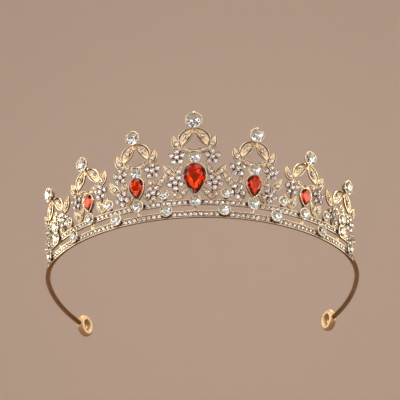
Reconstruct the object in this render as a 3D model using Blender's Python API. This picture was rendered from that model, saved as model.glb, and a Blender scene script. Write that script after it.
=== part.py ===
"""A jewelled tiara: a sprung head wire, a double crystal rail and seven graduated motifs.

Lengths are millimetres until make_object scales them to metres. Most shapes are drawn in band
coordinates (s, h, d): s runs along the head from the front centre, positive to the wearer's left,
h climbs the flared band from the underside of the lower rail, and d stands out from the band.
Stones and their settings are rigid, so each is drawn in its own flat frame on the band instead.
"""

import math

import bmesh
import bpy
import numpy as np
from mathutils import Matrix, Vector

# Head shape, seen from above.
HALF_WIDTH = 74.8
FRONT_DEPTH = 80.2
BACK_DEPTH = 109.1
ARM_END_ANGLE = math.radians(119.4)
PLAN_CENTRE_Y = 15.8
FLARE = math.radians(10)

# Head wire and its end eyes.
WIRE_RADIUS = 1.2
WIRE_SIDES = 8
WIRE_FRONT_Z = 2.0
EYE_RADIUS = 3.9
EYE_TUBE = 1.9
EYE_REACH = 3.86
EYE_BEND = math.radians(8)
EYE_STEPS = 18
WIRE_BACK_Z = EYE_RADIUS + EYE_TUBE
WIRE_STEP = 6.0
JOINT_S = 91.6
CLEARANCE = 0.2

# Rails.
MOTIF_PITCH = 24.73
RAIL_END_S = 90.7
RAIL_BACK_D = 1.45
RAIL_FLOOR_D = 1.8
RAIL_RIM_D = 2.5
RAIL_LIP = 0.5
LOWER_RAIL = (0.0, 3.0)
UPPER_RAIL = (5.6, 8.3)
RAIL_STATIONS = 38
ROW_STONES_PER_PITCH = 11
ROW_LOW_D = 2.2
ROW_VALLEY_D = 2.45
ROW_PEAK_D = 2.9
ROW_LOW_REACH = 2.7
SEAT_BASE_D = ROW_LOW_D + CLEARANCE
SEAT_FLOOR_D = SEAT_BASE_D + 0.45
SEAT_BAR_HALF = 0.9
SEAT_BASE_RADIUS = 1.6
POST_HALF = 0.8

# Castings.
PLATE_BACK_D = 1.45
PLATE_FRONT_D = 2.35
LIFT = 0.04
CUP_SIDES = 8
SETTING_WALL = 0.35
STONE_CROWN = 0.34
STONE_TABLE = 0.6
STONE_DEPTH = 0.2

# Motif shapes by distance from the centre: height of the leaf tips, and stone sizes.
APEX_H = (40.4, 35.6, 30.7, 26.2)
TOP_STONE_RADIUS = (3.5, 3.0, 3.0, 3.0)
TOP_STONE_RISE = (3.9, 3.3, 3.3, 3.3)
TOP_STONE_SEAT_D = 3.6
PEAR_SIZE = ((10.0, 14.0), (7.0, 10.0), (6.0, 8.0))
PEAR_H = (17.4, 15.4, 15.7)
MID_STONE_DROP = 12.7
MID_STONE_RADIUS = 2.3
MID_STONE_SEAT_D = PLATE_FRONT_D + 0.1
FLOWER_DROP = (12.5, 12.7, 12.0, 12.1)
FLOWER_U = 7.2
FLOWER_RADIUS = 3.3
LOWER_FLOWER = ((8.2, 16.2), (7.2, 12.6))
SIDE_LEAF = (((8.3, 18.4), (12.6, 24.4)), ((7.6, 15.2), (12.2, 20.9)))
FOOT_LEAF_ROOT = ((6.9, 9.2), (5.6, 9.0), (6.9, 9.2), (5.4, 9.0))
LEVELS_WITH_LOWER_FLOWERS = 2
LEVELS_WITH_PEARS = 3
LEVEL_WITHOUT_MIDDLE_STONE = 2

# Parts that every motif has, as (u, h) with h measured from its apex.
CREST_LEAVES = (  # base, tip, width and lift
    ((5.2, -7.0), (-0.4, 0.2), 3.6, 0.0),
    ((5.6, -9.6), (8.3, -2.5), 3.1, 0.07),
)
SCROLL = ((-0.5, -10.2), (1.9, -9.5), (4.2, -8.6), (6.0, -7.4), (5.3, -6.0))
SCROLL_WIDTH = 1.1
CREST_FOOT = (5.8, -8.4)
COLUMN_TOP = -9.0
COLUMN_WIDTH = 1.6
BAR_WIDTH = 0.9
SIDE_LEAF_WIDTH = 3.0
TOP_STEM_WIDTH = 1.7
TOP_STEM_FOOT = -1.2

RAIL_STONE_RADIUS = 2.5
UPPER_STONE_H = (7.2, 7.3, 7.8, 7.8)
LOWER_STONE_H = 3.5
LOWER_STONE_S = (12.3, 35.4, 60.2, 83.6)
SPACER_RADIUS = 2.0
SPACER_S = (12.9, 38.2, 62.2)
SPACER_H = 10.9
SPACER_FLOOR_D = 2.9
SPACER_BASE_RADIUS = 0.9

# Faces of a casting that meet at less than this are one face.
FLAT_ANGLE = math.radians(0.4)

GOLD = (0.86, 0.58, 0.33, 1.0)
CRYSTAL = (0.9, 0.92, 0.94, 1.0)
RED = (0.72, 0.04, 0.01, 1.0)


# The band


def plan_table():
    """Arc lengths from the front centre and the plan angles that they belong to."""
    angles = np.linspace(0, ARM_END_ANGLE, 2400)
    depths = np.where(angles <= math.pi / 2, FRONT_DEPTH, BACK_DEPTH)
    x = HALF_WIDTH * np.sin(angles)
    y = -depths * np.cos(angles)
    steps = np.hypot(np.diff(x), np.diff(y))
    return np.concatenate([[0.0], np.cumsum(steps)]), angles


ARC_LENGTHS, PLAN_ANGLES = plan_table()
ARM_END_S = float(ARC_LENGTHS[-1])


def plan_point(s):
    """Point of the head curve at arc length s and its outward direction, both level."""
    angle = math.copysign(float(np.interp(abs(s), ARC_LENGTHS, PLAN_ANGLES)), s)
    depth = FRONT_DEPTH if abs(angle) <= math.pi / 2 else BACK_DEPTH
    point = Vector((HALF_WIDTH * math.sin(angle), -depth * math.cos(angle) + PLAN_CENTRE_Y, 0))
    outward = Vector((math.sin(angle) * depth, -math.cos(angle) * HALF_WIDTH, 0)).normalized()
    return point, outward


def band_point(s, h, d):
    point, outward = plan_point(s)
    reach = h * math.sin(FLARE) + d * math.cos(FLARE)
    point += outward * reach
    point.z = h * math.cos(FLARE) + (RAIL_RIM_D - d) * math.sin(FLARE)
    return point


def flat_frame(s, h):
    """A rigid frame on the band: its origin at d = 0, then right, up and out directions."""
    _, outward = plan_point(s)
    up = outward * math.sin(FLARE) + Vector((0, 0, math.cos(FLARE)))
    out = outward * math.cos(FLARE) - Vector((0, 0, math.sin(FLARE)))
    right = up.cross(out)
    return band_point(s, h, 0), right, up, out


def on_frame(frame, x, y, d):
    origin, right, up, out = frame
    return origin + right * x + up * y + out * d


def head_wire_point(s):
    point, _ = plan_point(s)
    front, _ = plan_point(0)
    back, _ = plan_point(ARM_END_S)
    share = (point.y - front.y) / (back.y - front.y)
    point.z = WIRE_FRONT_Z + (WIRE_BACK_Z - WIRE_FRONT_Z) * share
    return point


# Closed shells, each a list of points and a list of faces that look outwards


def stack(rings, close_ends=True):
    """Skins rings of equal length, first to last, and closes both ends with fans."""
    count = len(rings[0])
    points = [point for ring in rings for point in ring]
    faces = []
    for level in range(len(rings) - 1):
        for i in range(count):
            j = (i + 1) % count
            a, b = level * count + i, level * count + j
            faces.append((a, b, b + count))
            faces.append((a, b + count, a + count))
    if close_ends:
        last = (len(rings) - 1) * count
        for ring, offset, flip in ((rings[0], 0, True), (rings[-1], last, False)):
            centre = sum(ring, Vector()) / count
            points.append(centre)
            middle = len(points) - 1
            for i in range(count):
                a, b = offset + i, offset + (i + 1) % count
                faces.append((b, a, middle) if flip else (a, b, middle))
    return points, faces


def plate(outline, s0, back=PLATE_BACK_D, front=PLATE_FRONT_D):
    """A flat casting bent to the band. outline runs anticlockwise, as (u, h) from s0."""
    rings = [[band_point(s0 + u, h, d) for u, h in outline] for d in (back, front)]
    return stack(rings)


def leaf_outline(base, tip, width):
    """Pointed oval from base to tip."""
    along = Vector((tip[0] - base[0], tip[1] - base[1]))
    across = Vector((-along.y, along.x)).normalized()
    right, left = [], []
    for share in (0.3, 0.7):
        half = 0.5 * width * math.sin(math.pi * share) ** 0.8
        right.append(tuple(Vector(base) + along * share - across * half))
        left.append(tuple(Vector(base) + along * share + across * half))
    return [tuple(base)] + right + [tuple(tip)] + left[::-1]


def mirrored(outline):
    """The same outline on the other side of a motif, still anticlockwise."""
    return [(-u, h) for u, h in outline][::-1]


def flower_outline(centre, radius):
    """Five petals, one of them upward."""
    outline = []
    for i in range(10):
        reach = radius if i % 2 == 0 else 0.62 * radius
        angle = math.pi / 2 + i * math.pi / 5
        outline.append((centre[0] + reach * math.cos(angle), centre[1] + reach * math.sin(angle)))
    return outline


def pear_outline(width, length, count=14):
    """Drop with its point down, centred on its own middle, anticlockwise from the point."""
    angles = [2 * math.pi * i / count for i in range(count)]
    spread = [math.sin(a) * abs(math.sin(a / 2)) ** 0.8 for a in angles]
    widest = max(spread)
    return [
        (0.5 * width * x / widest, -0.5 * length * math.cos(a)) for x, a in zip(spread, angles)
    ]


def ribbon(path, width, s0, back, front):
    """A narrow bar that follows path, a list of (u, h)."""
    rings = []
    for i, point in enumerate(path):
        before = Vector(path[max(i - 1, 0)])
        after = Vector(path[min(i + 1, len(path) - 1)])
        along = (after - before).normalized()
        side = Vector((-along.y, along.x)) * (0.5 * width)
        low, high = Vector(point) - side, Vector(point) + side
        rings.append(
            [
                band_point(s0 + u, h, d)
                for (u, h), d in ((low, back), (high, back), (high, front), (low, front))
            ]
        )
    return stack(rings)


def circle_ring(frame, radius, d, sides):
    turns = [2 * math.pi * (i + 0.5) / sides for i in range(sides)]
    return [on_frame(frame, radius * math.cos(a), radius * math.sin(a), d) for a in turns]


def cup(frame, stone_radius, base_d, seat_d, base_radius=None):
    """Conical setting with a floor and a rim; its stone stands CLEARANCE above the floor."""
    inner = stone_radius + CLEARANCE
    outer = inner + SETTING_WALL
    base_radius = base_radius or 0.7 * stone_radius
    rim_d = girdle_d(stone_radius, seat_d) + 0.1
    profile = ((base_radius, base_d), (outer, rim_d), (inner, rim_d), (0.75 * inner, seat_d))
    return stack([circle_ring(frame, r, d, CUP_SIDES) for r, d in profile])


def girdle_d(radius, seat_d):
    return seat_d + CLEARANCE + STONE_DEPTH * radius


def round_stone(frame, radius, seat_d):
    """Chaton: cut-off pavilion, girdle, crown and table."""
    girdle = girdle_d(radius, seat_d)
    profile = (
        (0.55 * radius, seat_d + CLEARANCE),
        (radius, girdle),
        (STONE_TABLE * radius, girdle + STONE_CROWN * radius),
    )
    return stack([circle_ring(frame, r, d, 8) for r, d in profile])


def pear_ring(frame, size, grow, d):
    return [on_frame(frame, x, y, d) for x, y in pear_outline(size[0] + grow, size[1] + grow)]


def pear_setting(frame, size):
    """Drop-shaped tray: a floor with a rim round the stone."""
    inner = 2 * CLEARANCE
    outer = inner + 2 * SETTING_WALL
    floor = PLATE_FRONT_D
    rings = (
        pear_ring(frame, size, outer - 0.3, PLATE_BACK_D),
        pear_ring(frame, size, outer, floor + 0.9),
        pear_ring(frame, size, inner, floor + 0.9),
        pear_ring(frame, size, inner - 0.6, floor),
    )
    return stack(rings)


def pear_stone(frame, size):
    floor = PLATE_FRONT_D + CLEARANCE
    width, length = size
    levels = ((0.82, floor), (1.0, floor + 0.7), (0.62, floor + 0.7 + 0.17 * width))
    rings = [
        [on_frame(frame, x * share, y * share, d) for x, y in pear_outline(width, length)]
        for share, d in levels
    ]
    return stack(rings)


# Blender objects


def material(name, colour, metallic, roughness):
    made = bpy.data.materials.new(name)
    made.use_nodes = True
    shader = made.node_tree.nodes["Principled BSDF"]
    shader.inputs["Base Color"].default_value = colour
    shader.inputs["Metallic"].default_value = metallic
    shader.inputs["Roughness"].default_value = roughness
    return made


def mesh_of(name, shells):
    mesh = bpy.data.meshes.new(name)
    points, faces = [], []
    for shell_points, shell_faces in shells:
        start = len(points)
        points += [tuple(point * 0.001) for point in shell_points]
        faces += [tuple(start + i for i in face) for face in shell_faces]
    mesh.from_pydata(points, [], faces)
    return mesh


def make_object(name, shells, finish):
    """One closed body: overlapping shells are joined with an exact union."""
    made = bpy.data.objects.new(name, mesh_of(name, shells[:-1] or shells))
    bpy.context.scene.collection.objects.link(made)
    if len(shells) > 1:
        join_shell(made, shells[-1])
    made.data.materials.clear()
    made.data.materials.append(finish)
    return made


def join_shell(made, shell):
    """Unions the last shell and every overlap inside the object, and keeps the result."""
    tool = bpy.data.objects.new(made.name + "_tool", mesh_of(made.name + "_tool", [shell]))
    bpy.context.scene.collection.objects.link(tool)
    union = made.modifiers.new("union", "BOOLEAN")
    union.operation = "UNION"
    union.solver = "EXACT"
    union.use_self = True
    union.object = tool
    graph = bpy.context.evaluated_depsgraph_get()
    joined = bpy.data.meshes.new_from_object(made.evaluated_get(graph))
    made.modifiers.clear()
    made.data = joined
    bpy.data.objects.remove(tool)
    tidy = bmesh.new()
    tidy.from_mesh(joined)
    bmesh.ops.dissolve_limit(tidy, angle_limit=FLAT_ANGLE, verts=tidy.verts, edges=tidy.edges)
    bmesh.ops.triangulate(tidy, faces=tidy.faces)
    tidy.to_mesh(joined)
    tidy.free()


def move_origin(made, point):
    """Puts the object's origin on its joint axis and leaves its shape where it is."""
    made.data.transform(Matrix.Translation(-0.001 * point))
    made.location = 0.001 * point


def smooth(made):
    made.data.shade_smooth()
    made.data.set_sharp_from_angle(angle=math.radians(40))


# The head wire


def wire_tube(s_from, s_to, sides=WIRE_SIDES):
    """Round wire along the head curve between two arc lengths."""
    count = max(2, round(abs(s_to - s_from) / WIRE_STEP) + 1)
    upward = Vector((0, 0, math.copysign(1, s_from - s_to)))
    rings = []
    for s in np.linspace(s_from, s_to, count):
        centre = head_wire_point(s)
        _, outward = plan_point(s)
        turn = [2 * math.pi * i / sides for i in range(sides)]
        rings.append(
            [
                centre + WIRE_RADIUS * (math.cos(a) * outward + math.sin(a) * upward)
                for a in turn
            ]
        )
    return stack(rings)


def eye_loop(side):
    """Closed ring at the end of an arm, upright and bent a little inwards from the wire."""
    end = head_wire_point(side * ARM_END_S)
    _, outward = plan_point(side * ARM_END_S)
    axis = Matrix.Rotation(side * EYE_BEND, 3, "Z") @ outward
    along = side * Vector((-axis.y, axis.x, 0))
    centre = end + along * EYE_REACH
    rings = []
    for i in range(EYE_STEPS):
        a = 2 * math.pi * i / EYE_STEPS
        spoke = math.cos(a) * along + math.sin(a) * Vector((0, 0, 1))
        ring = []
        for j in range(WIRE_SIDES):
            b = 2 * math.pi * (j + 0.5) / WIRE_SIDES
            reach = EYE_RADIUS + EYE_TUBE * math.cos(b)
            ring.append(centre + spoke * reach + axis * (EYE_TUBE * math.sin(b)))
        rings.append(ring)
    return closed_loop(rings, side)


def closed_loop(rings, side):
    """Skins rings that run round to the first again."""
    points, faces = stack(rings + rings[:1], close_ends=False)
    total = len(rings) * len(rings[0])
    faces = [tuple(i % total for i in face) for face in faces]
    if side > 0:
        faces = [face[::-1] for face in faces]
    return points[:total], faces


def make_head_wire(gold):
    reach = JOINT_S - 0.5 * CLEARANCE
    smooth(make_object("front_wire", [wire_tube(-reach, reach)], gold))
    for name, side in (("left_arm", 1), ("right_arm", -1)):
        start = side * (JOINT_S + 0.5 * CLEARANCE)
        shells = [wire_tube(start, side * ARM_END_S), eye_loop(side)]
        arm = make_object(name, shells, gold)
        smooth(arm)
        move_origin(arm, head_wire_point(side * JOINT_S))


# The rails


def rail_channel(bottom, top):
    """Shallow channel that holds a row of small stones, open to the front."""
    section = (
        (bottom, RAIL_BACK_D),
        (bottom, RAIL_RIM_D),
        (bottom + RAIL_LIP, RAIL_RIM_D),
        (bottom + RAIL_LIP, RAIL_FLOOR_D),
        (top - RAIL_LIP, RAIL_FLOOR_D),
        (top - RAIL_LIP, RAIL_RIM_D),
        (top, RAIL_RIM_D),
        (top, RAIL_BACK_D),
    )
    rings = [
        [rail_point(s, h, d) for h, d in section]
        for s in np.linspace(RAIL_END_S, -RAIL_END_S, RAIL_STATIONS)
    ]
    return capped_strip(rings)


def rail_point(s, h, d):
    """As band_point, but h = 0 is level, so that the lower rail stands flat."""
    point = band_point(s, h, d)
    if h == 0:
        point.z = 0
    return point


def capped_strip(rings):
    """Skins sections from the wearer's left to right and closes both ends with quads.

    A channel's section has eight corners, so three quads close it; a row's has four.
    """
    points, faces = stack(rings, close_ends=False)
    count = len(rings[0])
    last = (len(rings) - 1) * count
    channel_end = ((0, 1, 2, 3), (0, 3, 4, 7), (4, 5, 6, 7))
    row_end = ((0, 1, 2, 3),)
    for a, b, c, d in channel_end if count == 8 else row_end:
        faces.append((d, c, b, a))
        faces.append(tuple(last + i for i in (a, b, c, d)))
    return points, faces


def crystal_row(bottom, top, seats):
    """Strip of touching small stones in a channel: each stone is a bump, and seats pass over it."""
    low = bottom + RAIL_LIP + CLEARANCE
    high = top - RAIL_LIP - CLEARANCE
    reach = RAIL_END_S - 2.0
    count = 2 * round(2 * reach / MOTIF_PITCH * ROW_STONES_PER_PITCH) + 1
    rings = []
    for i, s in enumerate(np.linspace(reach, -reach, count)):
        under_seat = min(abs(s - seat) for seat in seats) < ROW_LOW_REACH
        front = ROW_LOW_D if under_seat else ROW_PEAK_D if i % 2 else ROW_VALLEY_D
        back = RAIL_FLOOR_D + CLEARANCE
        inset = 0.0 if i % 2 else 0.2
        rings.append(
            [
                band_point(s, h, d)
                for h, d in ((low, back), (low + inset, front), (high - inset, front), (high, back))
            ]
        )
    return capped_strip(rings)


def box_on_band(s, half, bottom, top, back, front):
    outline = [(-half, bottom), (half, bottom), (half, top), (-half, top)]
    return plate(outline, s, back, front)


def rail_stone_seat(rail, s, h):
    """A bar across the rail's lips, clear of the row, and the setting that it carries."""
    bottom, top = rail
    bar = box_on_band(s, SEAT_BAR_HALF, bottom + 0.1, top - 0.1, SEAT_BASE_D, SEAT_FLOOR_D - 0.05)
    frame = flat_frame(s, h)
    return [bar, cup(frame, RAIL_STONE_RADIUS, SEAT_BASE_D + 0.05, SEAT_FLOOR_D, SEAT_BASE_RADIUS)]


def rail_stone(s, h):
    return round_stone(flat_frame(s, h), RAIL_STONE_RADIUS, SEAT_FLOOR_D)


def spacer_seat(s, h):
    """Small setting on a post that rises from the upper rail."""
    bottom = UPPER_RAIL[1] - 0.4
    post = box_on_band(s, SEAT_BAR_HALF, bottom, h, RAIL_BACK_D + 0.1, RAIL_FLOOR_D + 0.2)
    frame = flat_frame(s, h)
    return [post, cup(frame, SPACER_RADIUS, RAIL_FLOOR_D - 0.1, SPACER_FLOOR_D, SPACER_BASE_RADIUS)]


def rail_post(s):
    """Short pillar behind the gap that stands the upper rail on the lower one."""
    bottom, top = LOWER_RAIL[1] + CLEARANCE, UPPER_RAIL[0] + 0.3
    return box_on_band(s, POST_HALF, bottom, top, RAIL_BACK_D + 0.05, RAIL_FLOOR_D - 0.05)


def lower_stone_positions():
    return [-s for s in reversed(LOWER_STONE_S)] + list(LOWER_STONE_S)


def motif_positions():
    return [(i - 3) * MOTIF_PITCH for i in range(7)]


def make_rails(gold, crystal):
    lower = [rail_channel(*LOWER_RAIL)]
    for s in lower_stone_positions():
        lower += rail_stone_seat(LOWER_RAIL, s, LOWER_STONE_H)
    make_object("lower_rail", lower, gold)
    upper = [rail_channel(*UPPER_RAIL)]
    for k in range(-3, 4):
        upper += rail_stone_seat(UPPER_RAIL, k * MOTIF_PITCH, UPPER_STONE_H[abs(k)])
        upper.append(rail_post(k * MOTIF_PITCH))
    for s in SPACER_S:
        upper += spacer_seat(s, SPACER_H) + spacer_seat(-s, SPACER_H)
    make_object("upper_rail", upper, gold)
    lower_row = crystal_row(*LOWER_RAIL, lower_stone_positions())
    upper_row = crystal_row(*UPPER_RAIL, motif_positions())
    make_object("lower_crystal_row", [lower_row], crystal)
    make_object("upper_crystal_row", [upper_row], crystal)
    for i, s in enumerate(lower_stone_positions()):
        make_object(f"lower_crystal_{i + 1}", [rail_stone(s, LOWER_STONE_H)], crystal)
    for k in range(-3, 4):
        stone = rail_stone(k * MOTIF_PITCH, UPPER_STONE_H[abs(k)])
        make_object(f"upper_crystal_{k + 4}", [stone], crystal)
    positions = sorted([-s for s in SPACER_S] + list(SPACER_S))
    for i, s in enumerate(positions):
        stone = round_stone(flat_frame(s, SPACER_H), SPACER_RADIUS, SPACER_FLOOR_D)
        make_object(f"spacer_crystal_{i + 1}", [stone], crystal)


# The motifs


def both_sides(outline, s0, back=PLATE_BACK_D, front=PLATE_FRONT_D):
    """The plate and its mirror image, a little prouder so that no two faces coincide."""
    lifted = plate(mirrored(outline), s0, back + LIFT, front + LIFT)
    return [plate(outline, s0, back, front), lifted]


def crest(s0, apex):
    """Two upper leaves that meet at the top, two outer leaves and the scrolls under them."""
    shells = []
    for base, tip, width, lift in CREST_LEAVES:
        outline = leaf_outline((base[0], apex + base[1]), (tip[0], apex + tip[1]), width)
        shells += both_sides(outline, s0, PLATE_BACK_D + lift, PLATE_FRONT_D + lift)
    back, front = PLATE_BACK_D + 0.15, PLATE_FRONT_D - 0.2
    for side, lift in ((1, 0.0), (-1, LIFT)):
        path = [(side * u, apex + h) for u, h in SCROLL]
        shells.append(ribbon(path, SCROLL_WIDTH, s0, back + lift, front + lift))
    return shells


def column(s0, bottom, top):
    """Back bar that carries the motif from its foot to its crest."""
    path = [(0.0, bottom), (0.0, top)]
    return ribbon(path, COLUMN_WIDTH, s0, PLATE_BACK_D + 0.05, PLATE_FRONT_D - 0.35)


def flowers(s0, level):
    shells = []
    apex = APEX_H[level]
    upper = (FLOWER_U, apex - FLOWER_DROP[level])
    centres = [upper]
    if level < LEVELS_WITH_LOWER_FLOWERS:
        centres.append(LOWER_FLOWER[level])
    for centre in centres:
        outline = flower_outline(centre, FLOWER_RADIUS)
        shells += both_sides(outline, s0, PLATE_BACK_D - 0.1, PLATE_FRONT_D - 0.1)
    return shells


def cross_bars(s0, level):
    """Bars that tie the flowers to the column and to each other, and the feet to the flowers."""
    apex = APEX_H[level]
    upper_h = apex - FLOWER_DROP[level]
    back, front = PLATE_BACK_D + 0.1, PLATE_FRONT_D - 0.35
    root = FOOT_LEAF_ROOT[level]
    has_lower = level < LEVELS_WITH_LOWER_FLOWERS
    lower = LOWER_FLOWER[level] if has_lower else (FLOWER_U, upper_h)
    crest_u, crest_h = CREST_FOOT[0], apex + CREST_FOOT[1]
    paths = [
        [(-FLOWER_U, upper_h), (FLOWER_U, upper_h)],
        [(crest_u, crest_h), (FLOWER_U, upper_h)],
        [(-crest_u, crest_h), (-FLOWER_U, upper_h)],
        [(root[0], root[1]), lower],
        [(-root[0], root[1]), (-lower[0], lower[1])],
        [(-root[0], root[1] + 0.2), (root[0], root[1] + 0.2)],
    ]
    if has_lower:
        paths.append([lower, (FLOWER_U, upper_h)])
        paths.append([(-lower[0], lower[1]), (-FLOWER_U, upper_h)])
    step = 0.5 * LIFT
    return [
        ribbon(path, BAR_WIDTH, s0, back + step * i, front + step * i)
        for i, path in enumerate(paths)
    ]


def foot_leaves(s0, level):
    """A pair of small leaves on each side that spring from the upper rail."""
    u, h = FOOT_LEAF_ROOT[level]
    shells = []
    inward = leaf_outline((u + 0.4, h - 0.1), (u - 3.2, h + 3.2), 2.0)
    outward = leaf_outline((u - 0.4, h - 0.05), (u + 2.1, h + 2.4), 1.9)
    shells += both_sides(inward, s0, PLATE_BACK_D - 0.05, PLATE_FRONT_D - 0.3)
    if level in (0, 2):
        shells += both_sides(outward, s0, PLATE_BACK_D - 0.02, PLATE_FRONT_D - 0.25)
    return shells


def side_leaves(s0, level):
    base, tip = SIDE_LEAF[level]
    outline = leaf_outline(base, tip, SIDE_LEAF_WIDTH)
    return both_sides(outline, s0, PLATE_BACK_D + 0.03, PLATE_FRONT_D + 0.03)


def motif_frame(k):
    level = abs(k)
    s0 = k * MOTIF_PITCH
    apex = APEX_H[level]
    top_h = apex + TOP_STONE_RISE[level]
    shells = crest(s0, apex) + flowers(s0, level) + cross_bars(s0, level) + foot_leaves(s0, level)
    shells.append(column(s0, FOOT_LEAF_ROOT[level][1], apex + COLUMN_TOP))
    if level < LEVELS_WITH_LOWER_FLOWERS:
        shells += side_leaves(s0, level)
    if level < LEVELS_WITH_PEARS:
        shells.append(pear_setting(flat_frame(s0, PEAR_H[level]), PEAR_SIZE[level]))
    if level != LEVEL_WITHOUT_MIDDLE_STONE:
        frame = flat_frame(s0, apex - MID_STONE_DROP)
        shells.append(cup(frame, MID_STONE_RADIUS, PLATE_BACK_D + 0.2, MID_STONE_SEAT_D, 2.2))
    stem = [(0.0, apex + TOP_STEM_FOOT), (0.0, top_h)]
    shells.append(ribbon(stem, TOP_STEM_WIDTH, s0, PLATE_BACK_D + 0.3, TOP_STONE_SEAT_D - 0.6))
    frame = flat_frame(s0, top_h)
    shells.append(cup(frame, TOP_STONE_RADIUS[level], PLATE_BACK_D + 0.1, TOP_STONE_SEAT_D, 1.4))
    return shells


def make_motifs(gold, crystal, red):
    for k in range(-3, 4):
        level = abs(k)
        s0 = k * MOTIF_PITCH
        number = k + 4
        make_object(f"motif_{number}", motif_frame(k), gold)
        apex = APEX_H[level]
        frame = flat_frame(s0, apex + TOP_STONE_RISE[level])
        stone = round_stone(frame, TOP_STONE_RADIUS[level], TOP_STONE_SEAT_D)
        make_object(f"top_crystal_{number}", [stone], crystal)
        if level != LEVEL_WITHOUT_MIDDLE_STONE:
            frame = flat_frame(s0, apex - MID_STONE_DROP)
            stone = round_stone(frame, MID_STONE_RADIUS, MID_STONE_SEAT_D)
            make_object(f"middle_crystal_{number}", [stone], crystal)
        if level < LEVELS_WITH_PEARS:
            stone = pear_stone(flat_frame(s0, PEAR_H[level]), PEAR_SIZE[level])
            make_object(f"pear_crystal_{number}", [stone], red)


def main():
    for old in list(bpy.data.objects):
        bpy.data.objects.remove(old)
    gold = material("gold_plate", GOLD, 1.0, 0.25)
    crystal = material("clear_crystal", CRYSTAL, 0.0, 0.05)
    red = material("red_crystal", RED, 0.0, 0.05)
    make_head_wire(gold)
    make_rails(gold, crystal)
    make_motifs(gold, crystal, red)


main()
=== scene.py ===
"""Looks of the tiara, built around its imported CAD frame.

Lengths are millimetres until Shape.make scales them to metres. Band coordinates (s, h, d) are those
of the CAD part: s runs along the head from the front centre, h climbs the flared band from the
underside of the lower rail, and d stands out from the band.
"""

import math

import bpy
import numpy as np
from mathutils import Matrix, Vector


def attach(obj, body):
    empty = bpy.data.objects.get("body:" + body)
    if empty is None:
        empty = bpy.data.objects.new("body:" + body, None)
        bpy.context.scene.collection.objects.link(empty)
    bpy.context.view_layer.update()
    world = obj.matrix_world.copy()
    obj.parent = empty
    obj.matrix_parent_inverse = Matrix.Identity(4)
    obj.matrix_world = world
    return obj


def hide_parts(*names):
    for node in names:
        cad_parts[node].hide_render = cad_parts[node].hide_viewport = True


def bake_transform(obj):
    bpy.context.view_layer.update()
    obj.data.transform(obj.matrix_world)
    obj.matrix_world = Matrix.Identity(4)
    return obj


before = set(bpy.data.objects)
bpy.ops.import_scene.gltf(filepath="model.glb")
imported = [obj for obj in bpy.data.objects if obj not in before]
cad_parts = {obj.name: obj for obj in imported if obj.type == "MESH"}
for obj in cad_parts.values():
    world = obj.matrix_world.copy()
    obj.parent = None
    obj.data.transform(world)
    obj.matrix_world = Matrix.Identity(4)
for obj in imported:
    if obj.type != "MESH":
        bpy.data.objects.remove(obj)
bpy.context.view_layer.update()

MM = 0.001
SHARP_EDGE = math.radians(42)
# Material slots of a casting, of a cut stone and of a head wire. A casting's second slot is a dark gold
# that paints shade into recesses, gaps and parts under and behind stones.
BRIGHT, PAINTED_SHADE, MATT = range(3)
GLASS, FOIL = range(2)
WIRE, EYE = range(2)

# Head shape and band, as in the CAD part.
HALF_WIDTH = 74.8
FRONT_DEPTH = 80.2
BACK_DEPTH = 109.1
ARM_END_ANGLE = math.radians(119.4)
PLAN_CENTRE_Y = 15.8
PLAN_STEPS = 2400
FLARE = math.radians(10)
RAIL_RIM_D = 2.5

# Head wire.
WIRE_RADIUS = 1.2
WIRE_FRONT_Z = 2.0
EYE_RADIUS = 3.9
EYE_TUBE = 1.9
EYE_REACH = 3.86
EYE_BEND = math.radians(8)
WIRE_BACK_Z = EYE_RADIUS + EYE_TUBE
WIRE_RINGS = 90
JOINT_S = 91.6
BEND_REACH = 3.0

# Rails. A motif and the stones in line with it are placed by k, counted from the middle motif, and named
# by k + MIDDLE_NUMBER. A tuple with a value for each level is indexed by abs(k).
MOTIF_PITCH = 24.73
MOTIF_PLACES = range(-3, 4)
MIDDLE_NUMBER = 4
RAIL_END_S = 90.7
RAIL_BACK_D = 1.45
RAIL_FLOOR_D = 1.8
RAIL_LIP = 0.38
LIP_BEVEL = 0.12
RAIL_EDGE_D = RAIL_RIM_D - 0.15
RAIL_RINGS = 141
LOWER_RAIL = (0.0, 3.0)
UPPER_RAIL = (5.6, 8.3)
ROW_STONES_PER_PITCH = 11
LOWER_STONE_H = 3.5
LOWER_STONE_S = (12.3, 35.4, 60.2, 83.6)
UPPER_STONE_H = (7.2, 7.3, 7.8, 7.8)
RAIL_STONE_RADIUS = 2.5
RAIL_GIRDLE_D = 3.55
SPACER_RADIUS = 2.0
SPACER_S = (12.9, 38.2, 62.2)
SPACER_H = 10.9
SPACER_GIRDLE_D = 3.5
END_FLOWER_S = 85.6
END_FLOWER_H = 7.6

# Castings.
PLATE_BACK_D = 1.45
PLATE_FRONT_D = 2.35
APEX_H = (40.4, 35.6, 30.7, 26.2)
# Crest of a motif's right half: base of its upper leaf, then base and tip of its outer leaf.
CREST = (
    ((5.3, 33.3), (5.8, 31.0), (8.3, 38.2)),
    ((5.2, 28.8), (5.8, 25.8), (8.5, 33.0)),
    ((5.7, 24.0), (6.4, 21.5), (10.0, 28.3)),
    ((6.4, 19.4), (7.4, 17.2), (12.0, 24.2)),
)
TOP_STONE_RADIUS = (3.5, 3.0, 3.0, 3.0)
TOP_STONE_RISE = (3.9, 3.3, 3.3, 3.3)
TOP_GIRDLE_D = 4.5
PEAR_SIZE = ((10.1, 14.7), (7.0, 10.2), (6.0, 8.2))
PEAR_H = (17.4, 15.4, 15.7)
PEAR_TAPER = 0.7
PEAR_WIDEST = 0.8214  # Largest value of sin(a) * sin(a / 2) ** PEAR_TAPER.
PEAR_GIRDLE_D = 3.25
MID_STONE_LEVELS = (0, 1, 3)
MID_STONE_DROP = 12.7
MID_STONE_RADIUS = 2.65
MID_GIRDLE_D = 3.1
FLOWER_U = 7.2
FLOWER_DROP = (12.5, 12.7, 12.0, 12.1)
LOWER_FLOWER = ((8.2, 16.2), (7.2, 12.6))
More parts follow.
